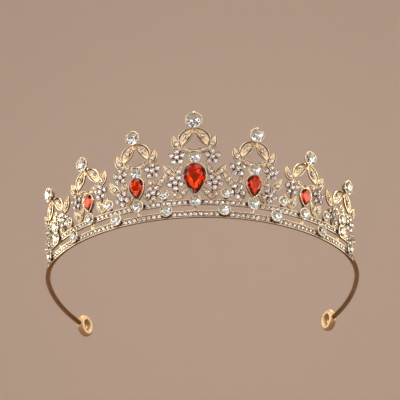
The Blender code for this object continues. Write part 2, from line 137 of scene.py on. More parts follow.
PETAL_RADIUS = 1.27
PETAL_REACH = 2.62
PETAL_GIRDLE_D = 2.85
LEAF_STONE_RADIUS = 1.12
ROW_STONE_RADIUS = 1.06


# The band


def plan_table():
    """Arc lengths from the front centre and the plan angles that they belong to."""
    angles = np.linspace(0, ARM_END_ANGLE, PLAN_STEPS)
    depths = np.where(angles <= math.pi / 2, FRONT_DEPTH, BACK_DEPTH)
    x = HALF_WIDTH * np.sin(angles)
    y = -depths * np.cos(angles)
    steps = np.hypot(np.diff(x), np.diff(y))
    return np.concatenate([[0.0], np.cumsum(steps)]), angles


ARC_LENGTHS, PLAN_ANGLES = plan_table()
ARM_END_S = float(ARC_LENGTHS[-1])


def plan_point(s):
    """Point of the head curve at arc length s and its outward direction, both level."""
    angle = math.copysign(float(np.interp(abs(s), ARC_LENGTHS, PLAN_ANGLES)), s)
    depth = FRONT_DEPTH if abs(angle) <= math.pi / 2 else BACK_DEPTH
    point = np.array([HALF_WIDTH * math.sin(angle), PLAN_CENTRE_Y - depth * math.cos(angle), 0.0])
    outward = np.array([math.sin(angle) * depth, -math.cos(angle) * HALF_WIDTH, 0.0])
    return point, outward / np.linalg.norm(outward)


def band_point(s, h, d):
    point, outward = plan_point(s)
    point = point + outward * (h * math.sin(FLARE) + d * math.cos(FLARE))
    point[2] = h * math.cos(FLARE) + (RAIL_RIM_D - d) * math.sin(FLARE)
    return point


def flat_frame(s, h):
    """A rigid frame on the band: its origin at d = 0, and rows right, up and out."""
    _, outward = plan_point(s)
    up = outward * math.sin(FLARE) + np.array([0, 0, math.cos(FLARE)])
    out = outward * math.cos(FLARE) - np.array([0, 0, math.sin(FLARE)])
    return band_point(s, h, 0), np.array([np.cross(up, out), up, out])


def on_frame(spot, points):
    origin, axes = spot
    return origin + np.asarray(points, float) @ axes


def head_wire_point(s):
    """Centre of the head wire, which climbs a little from the front to the eyes."""
    point, _ = plan_point(s)
    front, _ = plan_point(0)
    back, _ = plan_point(ARM_END_S)
    share = (point[1] - front[1]) / (back[1] - front[1])
    point[2] = WIRE_FRONT_Z + (WIRE_BACK_Z - WIRE_FRONT_Z) * share
    return point


# Meshes


def shell_volume(points, faces):
    """Signed volume of a closed shell, positive when its faces point outwards."""
    points = np.asarray(points, float)
    points = points - points.mean(axis=0)
    corners = [(face[0], face[i], face[i + 1]) for face in faces for i in range(1, len(face) - 1)]
    a, b, c = (points[[corner[i] for corner in corners]] for i in range(3))
    return float(np.einsum("ij,ij->", a, np.cross(b, c))) / 6


class Shape:
    """Gathers the closed shells of one piece, each with a material slot, flat or smooth."""

    def __init__(self):
        self.points = []
        self.faces = []
        self.slots = []
        self.smooth = []

    def add(self, points, faces, slot=0, smooth=True):
        """Adds one closed shell, with its faces turned outwards. slot is one slot, or one for each face."""
        start = len(self.points)
        if shell_volume(points, faces) < 0:
            faces = [face[::-1] for face in faces]
        self.points += [tuple(point) for point in points]
        self.faces += [tuple(start + i for i in face) for face in faces]
        self.slots += [slot] * len(faces) if isinstance(slot, int) else slot
        self.smooth += [smooth] * len(faces)

    def make(self, name, materials, record_slot, nodes):
        """Makes the piece and hides the CAD parts that it stands for. record_slot is not used."""
        mesh = bpy.data.meshes.new(name)
        mesh.from_pydata([tuple(MM * c for c in p) for p in self.points], [], self.faces)
        mesh.polygons.foreach_set("material_index", self.slots)
        mesh.polygons.foreach_set("use_smooth", self.smooth)
        for each in materials:
            mesh.materials.append(each)
        if any(self.smooth):
            mesh.set_sharp_from_angle(angle=SHARP_EDGE)
        mesh.update()
        piece = bpy.data.objects.new(name, mesh)
        bpy.context.scene.collection.objects.link(piece)
        if nodes:
            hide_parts(*nodes)
        return piece


def skin(rings, closed=False):
    """Faces over rings of equal length, with end caps; closed joins the last ring to the first instead."""
    count = len(rings[0])
    total = len(rings)
    points = [p for ring in rings for p in ring]
    faces = []
    for level in range(total if closed else total - 1):
        upper = (level + 1) % total
        for i in range(count):
            j = (i + 1) % count
            low, high = level * count, upper * count
            faces.append((low + i, low + j, high + j, high + i))
    if not closed:
        faces.append(tuple(range(count))[::-1])
        faces.append(tuple(range((total - 1) * count, total * count)))
    return points, faces


def level_slots(rings, count, shade_levels):
    """Slots of a skin's faces by level, the gap between two rings; the listed levels get the dark gold of
    painted shade. The back cap is matt.
    """
    slots = []
    for level in range(rings - 1):
        slots += [PAINTED_SHADE if level in shade_levels else BRIGHT] * count
    return slots + [MATT, BRIGHT]


def strip_slots(rings, slots):
    """Slots of a skin's faces by their place round the ring. Both caps are matt."""
    return list(slots) * (rings - 1) + [MATT, MATT]


def circle(radius, d, sides, centre=(0.0, 0.0)):
    turn = [2 * math.pi * (i + 0.5) / sides for i in range(sides)]
    return [(centre[0] + radius * math.cos(a), centre[1] + radius * math.sin(a), d) for a in turn]


def lathe(spot, profile, sides, centre=(0.0, 0.0)):
    """Turned shape on a frame; profile is a list of (radius, d) from the back to the front."""
    points, faces = skin([circle(r, d, sides, centre) for r, d in profile])
    return on_frame(spot, points), faces


# Stones

# Rings of a cut stone: how far out each one lies, and its share of the crown's or pavilion's depth. The
# ring below the girdle lies half way from the culet to PAVILION_SHARE.
TABLE_SHARE = 0.56
STAR_SHARE = 0.80
STAR_RISE = 0.58
PAVILION_SHARE = 0.85
PAVILION_DROP = 0.66
# Crown and pavilion depths, for a round stone by its radius and for a pear by its width.
ROUND_CROWN = 0.24
ROUND_PAVILION = 0.27
PEAR_CROWN = 0.07
PEAR_PAVILION = 0.085
PEAR_MAINS = 10
PEAR_MIDDLE = (0.0, 0.08)
PEAR_CULET = 0.36


def round_outline(angle):
    return math.cos(angle), math.sin(angle)


def pear_outline(angle):
    """Drop with its point down, one wide and one long, by an angle that starts at the right."""
    turn = angle + math.pi / 2
    x = math.sin(turn) * abs(math.sin(turn / 2)) ** PEAR_TAPER
    return 0.5 * x / PEAR_WIDEST, -0.5 * math.cos(turn)


def cut_stone(outline, size, crown, depth, mains=8, middle=(0.0, 0.0), culet_share=0.15):
    """Brilliant cut: points, then crown faces and pavilion faces. size scales the outline."""

    def ring(share, d, half):
        made = []
        for i in range(mains):
            x, y = outline(2 * math.pi * (i + half) / mains)
            x = middle[0] + (x - middle[0]) * share
            y = middle[1] + (y - middle[1]) * share
            made.append((x * size[0], y * size[1], d))
        return made

    table = ring(TABLE_SHARE, crown, 0.0)
    star = ring(STAR_SHARE, STAR_RISE * crown, 0.5)
    girdle_main = ring(1.0, 0.0, 0.0)
    girdle_half = ring(1.0, 0.0, 0.5)
    lower_share = 0.5 * (culet_share + PAVILION_SHARE)
    lower = ring(lower_share, -PAVILION_DROP * depth, 0.5)
    culet = ring(culet_share, -depth, 0.0)
    points = table + star + girdle_main + girdle_half + lower + culet
    t, s, g, h, p = (i * mains for i in range(5))
    c = 5 * mains
    crown_faces = [tuple(range(mains))]
    pavilion_faces = [tuple(range(c, c + mains))]
    for i in range(mains):
        j = (i + 1) % mains
        back = (i - 1) % mains
        crown_faces.append((t + i, s + i, t + j))
        crown_faces.append((t + i, s + back, g + i, s + i))
        crown_faces.append((s + i, g + i, h + i))
        crown_faces.append((s + i, h + i, g + j))
        pavilion_faces.append((h + i, g + i, p + i))
        pavilion_faces.append((g + j, h + i, p + i))
        pavilion_faces.append((g + i, p + back, c + i, p + i))
        pavilion_faces.append((p + i, c + i, c + j))
    return points, crown_faces, pavilion_faces


def add_stone(shape, spot, stone, d, centre=(0.0, 0.0), tilt=0.0):
    """Adds a cut stone: a glass crown and a foiled back that close into one shell."""
    points, crown_faces, pavilion_faces = stone
    turn = Matrix.Rotation(tilt, 3, "Z")
    placed = [turn @ Vector(p) + Vector((centre[0], centre[1], d)) for p in points]
    placed = on_frame(spot, [tuple(p) for p in placed])
    slots = [GLASS] * len(crown_faces) + [FOIL] * len(pavilion_faces)
    shape.add(placed, crown_faces + pavilion_faces, slots, smooth=False)


def round_stone(radius):
    crown, depth = ROUND_CROWN * radius, ROUND_PAVILION * radius
    return cut_stone(round_outline, (radius, radius), crown, depth)


def pear_stone(size):
    crown, depth = PEAR_CROWN * size[0], PEAR_PAVILION * size[0]
    return cut_stone(pear_outline, size, crown, depth, PEAR_MAINS, PEAR_MIDDLE, PEAR_CULET)


# Settings

# Levels of a cup in the dark gold of painted shade: all but the rim, or all but the outside wall.
BRIGHT_RIM = (0, 1, 2, 5, 6)
BRIGHT_WALL = (0, 3, 4, 5, 6)
SMALL_CUP_SIDES = 14
CUP_CLAWS = 4
# Settings of the large round stones: girdle depth, foot depth, foot radius, claws and their thickness.
RAIL_SETTING = (RAIL_GIRDLE_D, 2.45, 1.7, CUP_CLAWS, 0.27)
SPACER_SETTING = (SPACER_GIRDLE_D, 1.75, 1.0, CUP_CLAWS, 0.25)
MID_SETTING = (MID_GIRDLE_D, 1.7, 1.8, CUP_CLAWS, 0.25)
TOP_SETTING = (TOP_GIRDLE_D, 1.5, 1.3, 6, 0.3)
TOP_CUP_SIDES = 32


def add_cup(
    shape,
    spot,
    radius,
    base_d,
    girdle,
    base_radius,
    sides=24,
    centre=(0.0, 0.0),
    wall=0.3,
    shade_levels=BRIGHT_RIM,
):
    """Conical cup whose foot is at base_d: outside wall, rounded rim and inside wall, with the listed
    levels in the dark gold of painted shade.
    """
    outer = radius + wall
    profile = (
        (base_radius * 0.85, base_d),  # Foot and outside wall.
        (base_radius, base_d + 0.12),
        (outer - 0.06, girdle - 0.6 * wall),
        (outer, girdle - 0.1 * wall),  # Rim.
        (outer - 0.3 * wall, girdle + 0.25 * wall),
        (radius + 0.1 * wall, girdle + 0.2 * wall),
        (radius - 0.02, girdle - 0.1),  # Seat and inside.
        (0.5 * radius, base_d + 0.25),
    )
    points, faces = lathe(spot, profile, sides, centre)
    shape.add(points, faces, level_slots(len(profile), sides, shade_levels))


# Rings of a claw from its foot to its tip, in claw thicknesses: how far out from the girdle's edge, how
# far up from it, the claw's size there, and how much the ring has turned to face the middle.
CLAW_RINGS = (
    (1, -2, 1.0, 0.0),
    (1, 0.2, 1.0, 0.0),
    (-0.1, 1.2, 0.95, 0.8),
    (-1.2, 1.4, 0.6, 0.8),
)
CLAW_SIDES = 6


def add_claws(shape, spot, radius, girdle, count, thickness, centre=(0.0, 0.0), turn=0.5):
    """Claws that rise outside the rim and bend in over the girdle. turn is in gaps between claws."""
    for i in range(count):
        a = 2 * math.pi * (i + turn) / count
        rings = []
        for out, up, size, inward in CLAW_RINGS:
            reach = radius + out * thickness
            d = girdle + up * thickness
            x, y = centre[0] + reach * math.cos(a), centre[1] + reach * math.sin(a)
            ring = []
            for j in range(CLAW_SIDES):
                b = 2 * math.pi * j / CLAW_SIDES
                side = thickness * size * math.cos(b)
                rise = thickness * size * math.sin(b)
                outward = rise * (1 - inward)
                claw_x = x - side * math.sin(a) + outward * math.cos(a)
                claw_y = y + side * math.cos(a) + outward * math.sin(a)
                ring.append((claw_x, claw_y, d + rise * inward))
            rings.append(ring)
        points, faces = skin(rings)
        shape.add(on_frame(spot, points), faces)


def add_setting(gold, spot, radius, setting, sides=24):
    """Cup and claws of a large round stone."""
    girdle, foot_d, foot_radius, claws, thickness = setting
    add_cup(gold, spot, radius, foot_d, girdle, foot_radius, sides)
    add_claws(gold, spot, radius, girdle, claws, thickness)


# A bead's foot depth, and its dome in bead radii.
BEAD_FOOT = 0.2
BEAD_DOME = ((1.0, 0.0), (0.8, 0.55), (0.3, 0.95))


def add_bead(shape, spot, radius, d, centre=(0.0, 0.0), sides=8):
    profile = [(radius, d - BEAD_FOOT)]
    profile += [(reach * radius, d + rise * radius) for reach, rise in BEAD_DOME]
    points, faces = lathe(spot, profile, sides, centre)
    shape.add(points, faces)


# Castings

# Slots round a bar, from its back: the dark gold of painted shade behind the stones, or matt with bright
# sides where it shows.
BAR_SLOTS = (MATT, PAINTED_SHADE, PAINTED_SHADE, PAINTED_SHADE, PAINTED_SHADE, PAINTED_SHADE)
POST_SLOTS = (MATT, BRIGHT, MATT, MATT, MATT, BRIGHT)
BAR_BEVEL = 0.2
BAR_FLAT = 0.6
# Bars: width, back depth and front depth.
SEAT_BAR = (1.8, 2.4, 2.75)
RAIL_POST = (1.5, 1.5, 1.9)
SPACER_BAR = (1.7, 1.55, 2.1)
SIDE_BAR = (0.8, PLATE_BACK_D, 1.8)
SPINE_BAR = (1.4, PLATE_BACK_D, 1.9)
TOP_BAR = (1.9, 1.6, 2.6)


def add_ribbon(shape, path, bar, s0, slots=BAR_SLOTS):
    """Bar with softened front edges along path, a list of (u, h) with u measured from s0."""
    width, back, front = bar
    edge = front - BAR_BEVEL
    section = ((-1, back), (1, back), (1, edge), (BAR_FLAT, front), (-BAR_FLAT, front), (-1, edge))
    rings = []
    for i, point in enumerate(path):
        before = np.array(path[max(i - 1, 0)])
        after = np.array(path[min(i + 1, len(path) - 1)])
        along = (after - before) / np.linalg.norm(after - before)
        side = np.array([-along[1], along[0]]) * 0.5 * width
        ring = []
        for share, d in section:
            u, h = np.array(point) + side * share
            ring.append(band_point(s0 + u, h, d))
        rings.append(ring)
    points, faces = skin(rings)
    shape.add(points, faces, strip_slots(len(rings), slots))


# Leaf section: place across in half widths and depth in half thicknesses, round from the back left.
LEAF_SECTION = (
    (-1.0, -1.0),
    (1.0, -1.0),
    (1.0, 0.5),
    (0.95, 0.85),
    (0.84, 0.85),
    (0.74, 0.15),
    (0.62, 0.55),
    (0.5, 0.3),
    (0.0, 0.3),
    (-0.5, 0.3),
    (-0.62, 0.55),
    (-0.74, 0.15),
    (-0.84, 0.85),
    (-0.95, 0.85),
    (-1.0, 0.5),
)
# Slots of the section's sides: a bright rim, grooves and outer sides in the dark gold of painted shade, and
# a matt floor and back.
LEAF_RIM = (PAINTED_SHADE, BRIGHT, BRIGHT, PAINTED_SHADE, PAINTED_SHADE)
LEAF_SLOTS = (MATT, *LEAF_RIM, MATT, MATT, MATT, MATT, *LEAF_RIM[::-1])
LEAF_RINGS = 15
LEAF_TIP_HALF = 0.12
LEAF_MIDDLE_D = 0.5 * (PLATE_FRONT_D + PLATE_BACK_D)
LEAF_HALF_DEPTH = 0.5 * (PLATE_FRONT_D - PLATE_BACK_D)
LEAF_MIDDLE_SHARE = 0.42
LEAF_STONE_TO_WIDTH = 0.37
LEAF_STONE_LIFT = 0.2
LEAF_CUP_FOOT = 0.8
LEAF_CUP_WALL = 0.14
LEAF_CLAW = 0.14
LEAF_CLAW_TURN = 0.25
# Beads on a leaf: the side of the stone that each is on and its gap from the stone's edge, then their size
# in half widths, the part of the leaf that they keep to, and how high they stand.
LEAF_BEADS = ((-1, -0.9), (-1, -0.35), (1, 0.4), (1, 1.0), (1, 1.6), (1, 2.2))
LEAF_BEAD_SIZE = 0.24
LEAF_BEAD_SPAN = (0.1, 0.88)
LEAF_BEAD_LIFT = 0.2


def leaf_spine(base, tip, bow):
    """Centre line of a leaf: a parabola that bows sideways, with its normal at each share."""
    base, tip = np.array(base, float), np.array(tip, float)
    along = tip - base
    across = np.array([-along[1], along[0]]) / np.linalg.norm(along)

    def at(share):
        point = base + along * share + across * bow * 4 * share * (1 - share)
        tangent = along + across * bow * 4 * (1 - 2 * share)
        tangent /= np.linalg.norm(tangent)
        return point, np.array([-tangent[1], tangent[0]])

    return at


def leaf_half(width, share):
    """Half width of a leaf, widest just below its middle and blunt at both ends."""
    return 0.5 * width * max(math.sin(math.pi * share**0.9), 0.0) ** 0.75 + LEAF_TIP_HALF


def add_leaf(gold, stones, s0, base, tip, width, bow=0.0, stone_share=LEAF_MIDDLE_SHARE):
    """Leaf with a raised rim, an inner ridge, a few beads and one small stone."""
    at = leaf_spine(base, tip, bow)
    rings = []
    for i in range(LEAF_RINGS):
        share = i / (LEAF_RINGS - 1)
        point, across = at(share)
        half = leaf_half(width, share)
        ring = []
        for v, w in LEAF_SECTION:
            u, h = point - across * half * v
            ring.append(band_point(s0 + u, h, LEAF_MIDDLE_D + LEAF_HALF_DEPTH * w))
        rings.append(ring)
    points, faces = skin(rings)
    gold.add(points, faces, strip_slots(len(rings), LEAF_SLOTS))
    radius = min(LEAF_STONE_TO_WIDTH * width, LEAF_STONE_RADIUS)
    add_leaf_stone(gold, stones, s0, at(stone_share)[0], radius)
    length = float(np.linalg.norm(np.subtract(tip, base)))
    for end, gap in LEAF_BEADS:
        share = stone_share + (end * radius + gap) / length
        if LEAF_BEAD_SPAN[0] < share < LEAF_BEAD_SPAN[1]:
            point, _ = at(share)
            size = LEAF_BEAD_SIZE * leaf_half(width, share)
            add_bead(gold, flat_frame(s0 + point[0], point[1]), size, LEAF_MIDDLE_D + LEAF_BEAD_LIFT)


def add_leaf_stone(gold, stones, s0, point, radius):
    spot = flat_frame(s0 + point[0], point[1])
    girdle = PLATE_FRONT_D + LEAF_STONE_LIFT
    foot = LEAF_CUP_FOOT * radius
    add_stone(stones, spot, round_stone(radius), girdle)
    add_cup(gold, spot, radius, LEAF_MIDDLE_D, girdle, foot, SMALL_CUP_SIDES, wall=LEAF_CUP_WALL)
    add_claws(gold, spot, radius, girdle, CUP_CLAWS, LEAF_CLAW, turn=LEAF_CLAW_TURN)


PETALS = 5
MIDDLE_LIFT = 0.3
PETAL_CUP_FOOT_D = 1.75
PETAL_CUP_FOOT = 0.7
PETAL_CUP_WALL = 0.15
PETAL_CLAW = 0.12
# Each stone of a flower, and each set of claws, is turned a little from the one before.
PETAL_STONE_TURN = 0.3
PETAL_CLAW_START = 0.3
PETAL_CLAW_TURN = 0.8
# Star-shaped back plate: points round it, mean reach, depth of its wave and front depth.
STAR_SIDES = 20
STAR_REACH = 2.75
STAR_WAVE = 0.65
STAR_FRONT_D = PLATE_FRONT_D - 0.4
PETAL_STONE = round_stone(PETAL_RADIUS)


def add_flower(gold, stones, s0, centre, petal_up):
    """A middle stone and five petals, claw-set on a star-shaped back plate."""
    spot = flat_frame(s0 + centre[0], centre[1])
    start = math.pi / 2 if petal_up else -math.pi / 2
    add_flower_stone(gold, stones, spot, (0.0, 0.0), 0, PETAL_GIRDLE_D + MIDDLE_LIFT)
    for i in range(PETALS):
        a = start + 2 * math.pi * i / PETALS
        seat = (PETAL_REACH * math.cos(a), PETAL_REACH * math.sin(a))
        add_flower_stone(gold, stones, spot, seat, i + 1, PETAL_GIRDLE_D)
    outline = []
    for i in range(STAR_SIDES):
        a = 2 * math.pi * i / STAR_SIDES
        reach = STAR_REACH + STAR_WAVE * math.cos(PETALS * a)
        outline.append((reach * math.cos(start + a), reach * math.sin(start + a)))
    rings = [[(x, y, d) for x, y in outline] for d in (PLATE_BACK_D, STAR_FRONT_D)]
    points, faces = skin(rings)
    # The plate's sides and front are dark gold, painted shade in the gaps between the petals.
    gold.add(on_frame(spot, points), faces, [PAINTED_SHADE] * STAR_SIDES + [MATT, PAINTED_SHADE])


def add_flower_stone(gold, stones, spot, seat, number, girdle):
    """One stone of a flower in a cup whose outside shows bright between its neighbours, with its foot, rim
    and inside in the dark gold of painted shade.
    """
    foot = (PETAL_CUP_FOOT_D, girdle, PETAL_CUP_FOOT)
    add_cup(gold, spot, PETAL_RADIUS, *foot, SMALL_CUP_SIDES, seat, PETAL_CUP_WALL, BRIGHT_WALL)
    add_stone(stones, spot, PETAL_STONE, girdle, seat, tilt=PETAL_STONE_TURN * number)
    claw_turn = PETAL_CLAW_START + PETAL_CLAW_TURN * number
    add_claws(gold, spot, PETAL_RADIUS, girdle, CUP_CLAWS, PETAL_CLAW, seat, claw_turn)


# Tray of a pear, up its outside, over its rim and in under the stone: how much wider and longer than the
# stone each ring is, and its depth.
PEAR_TRAY = (
    (0.0, PLATE_BACK_D),
    (0.35, PLATE_BACK_D + 0.2),
    (0.6, PEAR_GIRDLE_D - 0.3),
    (0.65, PEAR_GIRDLE_D - 0.1),
    (0.5, PEAR_GIRDLE_D + 0.04),
    (0.12, PEAR_GIRDLE_D + 0.02),
    (-0.1, PEAR_GIRDLE_D - 0.12),
    (-4.0, PLATE_FRONT_D - 0.6),
)
# Levels of the tray in the dark gold of painted shade: its foot, its outside wall and its inside under the
# stone.
PEAR_SHADE_LEVELS = (0, 1, 6)
PEAR_SIDES = 32
PEAR_CLAW = 0.24
# Claws at the point of the drop and at its shoulders, by the angle of pear_outline.
PEAR_CLAW_ANGLES = (-90, 10, 62, 118, 170)


def add_pear_setting(gold, spot, size):
    """Drop-shaped tray with a thin rim and five claws."""
    rings = []
    for grow, d in PEAR_TRAY:
        ring = []
        for i in range(PEAR_SIDES):
            x, y = pear_outline(2 * math.pi * i / PEAR_SIDES)
            ring.append((x * (size[0] + grow), y * (size[1] + grow), d))
        rings.append(ring)
    points, faces = skin(rings)
    gold.add(on_frame(spot, points), faces, level_slots(len(rings), PEAR_SIDES, PEAR_SHADE_LEVELS))
    for angle in PEAR_CLAW_ANGLES:
        x, y = pear_outline(math.radians(angle))
        add_pear_claw(gold, spot, (x * size[0], y * size[1]))


def add_pear_claw(gold, spot, foot):
    """One claw over the edge of a pear at foot, a place on its outline."""
    reach = math.hypot(*foot)
    turn = math.atan2(foot[1], foot[0]) / (2 * math.pi)
    add_claws(gold, spot, reach, PEAR_GIRDLE_D, 1, PEAR_CLAW, turn=turn)


# Materials

# Noise scales, per metre of object space.
DRIFT_SCALE = 90
GRAIN_SCALE = 420
GLASS_SCALE = 60
FOIL_SCALE = 300
# Noise levels at which a metal has its deep and its light tone.
DEEP_END = 0.3
LIGHT_END = 0.7
# How far the polish of a metal strays from its roughness, and the height of its grain in metres.
SMOOTHER = 0.07
ROUGHER = 0.09
GRAIN_HEIGHT = 0.00006
# The darker end of a stone's colour drift.
GLASS_SHADE = 0.9
FOIL_SHADE = 0.82


def node_material(name):
    """A new material with its nodes, its links and its shader."""
    made = bpy.data.materials.new(name)
    made.use_nodes = True
    return made, made.node_tree.nodes, made.node_tree.links, made.node_tree.nodes["Principled BSDF"]


def set_ramp(node, stops, interpolation="LINEAR"):
    ramp = node.color_ramp
    ramp.interpolation = interpolation
    while len(ramp.elements) < len(stops):
        ramp.elements.new(0.5)
    for element, (position, colour) in zip(ramp.elements, stops):
        element.position = position
        element.color = (*colour, 1)


def add_noise(nodes, links, scale, detail=2):
    """Noise that stays with the object as it moves."""
    where = nodes.new("ShaderNodeTexCoord")
    noise = nodes.new("ShaderNodeTexNoise")
    noise.inputs["Scale"].default_value = scale
    noise.inputs["Detail"].default_value = detail
    links.new(where.outputs["Object"], noise.inputs["Vector"])
    return noise


def drift_colour(nodes, links, shader, noise, stops):
    """Colours the shader by the noise."""
    tint = nodes.new("ShaderNodeValToRGB")
    set_ramp(tint, stops)
    links.new(noise.outputs["Fac"], tint.inputs["Fac"])
    links.new(tint.outputs["Color"], shader.inputs["Base Color"])


def gold_material(name, light, deep, roughness, grain):
    """Plated metal: slow colour drift, uneven polish and a fine cast grain."""
    made, nodes, links, shader = node_material(name)
    drift = add_noise(nodes, links, DRIFT_SCALE, detail=3)
    drift_colour(nodes, links, shader, drift, ((DEEP_END, deep), (LIGHT_END, light)))
    polish = add_noise(nodes, links, GRAIN_SCALE, detail=4)
    spread = nodes.new("ShaderNodeMapRange")
    spread.inputs["To Min"].default_value = roughness - SMOOTHER
    spread.inputs["To Max"].default_value = roughness + ROUGHER
    links.new(polish.outputs["Fac"], spread.inputs["Value"])
    links.new(spread.outputs["Result"], shader.inputs["Roughness"])
    bump = nodes.new("ShaderNodeBump")
    bump.inputs["Strength"].default_value = grain
    bump.inputs["Distance"].default_value = GRAIN_HEIGHT
    links.new(polish.outputs["Fac"], bump.inputs["Height"])
    links.new(bump.outputs["Normal"], shader.inputs["Normal"])
    shader.inputs["Metallic"].default_value = 1.0
    return made


def glass_material(name, colour, ior):
    """Stone glass with a trace of colour drift between stones."""
    made, nodes, links, shader = node_material(name)
    deep = [GLASS_SHADE * c for c in colour]
    drift_colour(nodes, links, shader, add_noise(nodes, links, GLASS_SCALE), ((0.0, deep), (1.0, colour)))
    shader.inputs["Roughness"].default_value = 0.0
    shader.inputs["IOR"].default_value = ior
    shader.inputs["Transmission Weight"].default_value = 1.0
    return made


def foil_material(name, colour, roughness):
    """Mirror foil on the back of a stone, a little uneven."""
    made, nodes, links, shader = node_material(name)
    deep = [FOIL_SHADE * c for c in colour]
    drift_colour(nodes, links, shader, add_noise(nodes, links, FOIL_SCALE), ((0.0, deep), (1.0, colour)))
    shader.inputs["Roughness"].default_value = roughness
    shader.inputs["Metallic"].default_value = 1.0
    return made


# Metals: light and deep tone, roughness and strength of the grain.
CAST_GOLD = gold_material("cast_gold", (0.92, 0.75, 0.57), (0.84, 0.65, 0.46), 0.27, 0.3)
FACE_GOLD = gold_material("face_gold", (0.86, 0.68, 0.50), (0.76, 0.57, 0.40), 0.5, 0.6)
# Dark gold of painted shade, for recesses, grooves and parts under and behind stones.
PAINTED_SHADE_GOLD = gold_material("painted_shade_gold", (0.19, 0.11, 0.065), (0.12, 0.066, 0.036), 0.42, 0.6)
# The head wire and its eye are the castings' plated gold darkened: the wire's dark brown is painted shade
# and a painted reflection of dark surroundings, and the eye is a paler copy with less painted shade.
PAINTED_SHADE_WIRE = gold_material("painted_shade_wire", (0.32, 0.155, 0.04), (0.225, 0.098, 0.025), 0.2, 0.12)
PAINTED_SHADE_EYE = gold_material("painted_shade_eye", (0.5, 0.335, 0.21), (0.4, 0.255, 0.15), 0.42, 0.08)
CLEAR_GLASS = glass_material("clear_glass", (0.97, 0.98, 1.0), 1.56)
CLEAR_FOIL = foil_material("clear_foil", (0.93, 0.94, 0.95), 0.05)
SMALL_FOIL = foil_material("small_foil", (0.95, 0.885, 0.87), 0.05)
RED_GLASS = glass_material("red_glass", (0.95, 0.095, 0.01), 1.48)
RED_FOIL = foil_material("red_foil", (0.86, 0.45, 0.26), 0.16)
# Glass and foil of a stone.
CLEAR = (CLEAR_GLASS, CLEAR_FOIL)
SMALL = (CLEAR_GLASS, SMALL_FOIL)
RED = (RED_GLASS, RED_FOIL)


# Head wire


def round_wire(s_from, s_to, count, sides=20):
    """Round wire along the head curve."""
    rings = []
    upward = np.array([0, 0, math.copysign(1, s_from - s_to)])
    for s in np.linspace(s_from, s_to, count):
        _, outward = plan_point(s)
        centre = head_wire_point(s)
        ring = []
        for i in range(sides):
            a = 2 * math.pi * i / sides
            ring.append(centre + WIRE_RADIUS * (math.cos(a) * outward + math.sin(a) * upward))
        rings.append(ring)
    return skin(rings)


def eye_loop(side, sides=18, turns=48):
    """Fat round loop at the end of an arm, bent a little inwards from the wire."""
    end = head_wire_point(side * ARM_END_S)
    _, outward = plan_point(side * ARM_END_S)
    axis = np.array(Matrix.Rotation(side * EYE_BEND, 3, "Z") @ Vector(outward))
    along = side * np.array([-axis[1], axis[0], 0.0])
    centre = end + along * EYE_REACH
    rings = []
    for i in range(turns):
        a = side * -2 * math.pi * i / turns
        spoke = math.cos(a) * along + math.sin(a) * np.array([0, 0, 1.0])
        ring = []
        for j in range(sides):
            b = 2 * math.pi * j / sides
            reach = EYE_RADIUS + EYE_TUBE * math.cos(b)
            ring.append(centre + spoke * reach + axis * (EYE_TUBE * math.sin(b)))
        rings.append(ring)
    return skin(rings, closed=True)


def make_wire(name, side, arm):
    """Half of the front wire with its arm and eye, unbroken across the joint."""
    shape = Shape()
    points, faces = round_wire(0.0, side * ARM_END_S, WIRE_RINGS)
    shape.add(points, faces, WIRE)
    points, faces = eye_loop(side)
    shape.add(points, faces, EYE)
    piece = shape.make(name, (PAINTED_SHADE_WIRE, PAINTED_SHADE_EYE), "gold_plate", ("front_wire", arm))
    before = head_wire_point(side * (JOINT_S - BEND_REACH)) * MM
    after = head_wire_point(side * (JOINT_S + BEND_REACH)) * MM
    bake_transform(piece)


# Rails

# Slots round a rail, from its underside: the two lips are bright, and the channel between them is dark
# gold, painted shade, as are the rail's top and bottom sides.
RAIL_SLOTS = (PAINTED_SHADE, BRIGHT, BRIGHT, BRIGHT, PAINTED_SHADE, PAINTED_SHADE, PAINTED_SHADE, BRIGHT, BRIGHT, BRIGHT, PAINTED_SHADE, MATT)
ROW_END_GAP = 2.5
ROW_STONE = round_stone(ROW_STONE_RADIUS)
ROW_STONE_TURN = 0.4
ROW_BEAD_RADIUS = 0.3
ROW_BEAD_SIDES = 6
ROW_BEAD_H = 0.72
# Distances from the middle of a large stone within which a row has no stone and no bead.
STONE_CLEARANCE = 1.3
BEAD_CLEARANCE = 2.0
# How far a seat's bar stops short of the rail's edges, and how far posts and bars run into the rails.
SEAT_BAR_GAP = 0.1
POST_OVERLAP = (0.1, 0.2)
SPACER_BAR_OVERLAP = 0.3
# Leaf at each end of the lower rail: base and tip from the rail's end, and width.
END_LEAF = ((-5.5, 3.4), (1.2, 0.6), 3.0)


def add_rail(shape, bottom, top):
    """Channel with a bevelled lip along each edge."""
    section = (
        (bottom, RAIL_BACK_D),
        (bottom, RAIL_EDGE_D),
        (bottom + LIP_BEVEL, RAIL_RIM_D),
        (bottom + RAIL_LIP - LIP_BEVEL, RAIL_RIM_D),
        (bottom + RAIL_LIP, RAIL_RIM_D - LIP_BEVEL),
        (bottom + RAIL_LIP, RAIL_FLOOR_D),
        (top - RAIL_LIP, RAIL_FLOOR_D),
        (top - RAIL_LIP, RAIL_RIM_D - LIP_BEVEL),
        (top - RAIL_LIP + LIP_BEVEL, RAIL_RIM_D),
        (top - LIP_BEVEL, RAIL_RIM_D),
        (top, RAIL_EDGE_D),
        (top, RAIL_BACK_D),
    )
    rings = []
    for s in np.linspace(RAIL_END_S, -RAIL_END_S, RAIL_RINGS):
        ring = [band_point(s, h, d) for h, d in section]
        for point, (h, _) in zip(ring, section):
            if h == 0:
                point[2] = 0.0  # The lower rail's underside is level.
        rings.append(ring)
    points, faces = skin(rings)
    shape.add(points, faces, strip_slots(len(rings), RAIL_SLOTS))


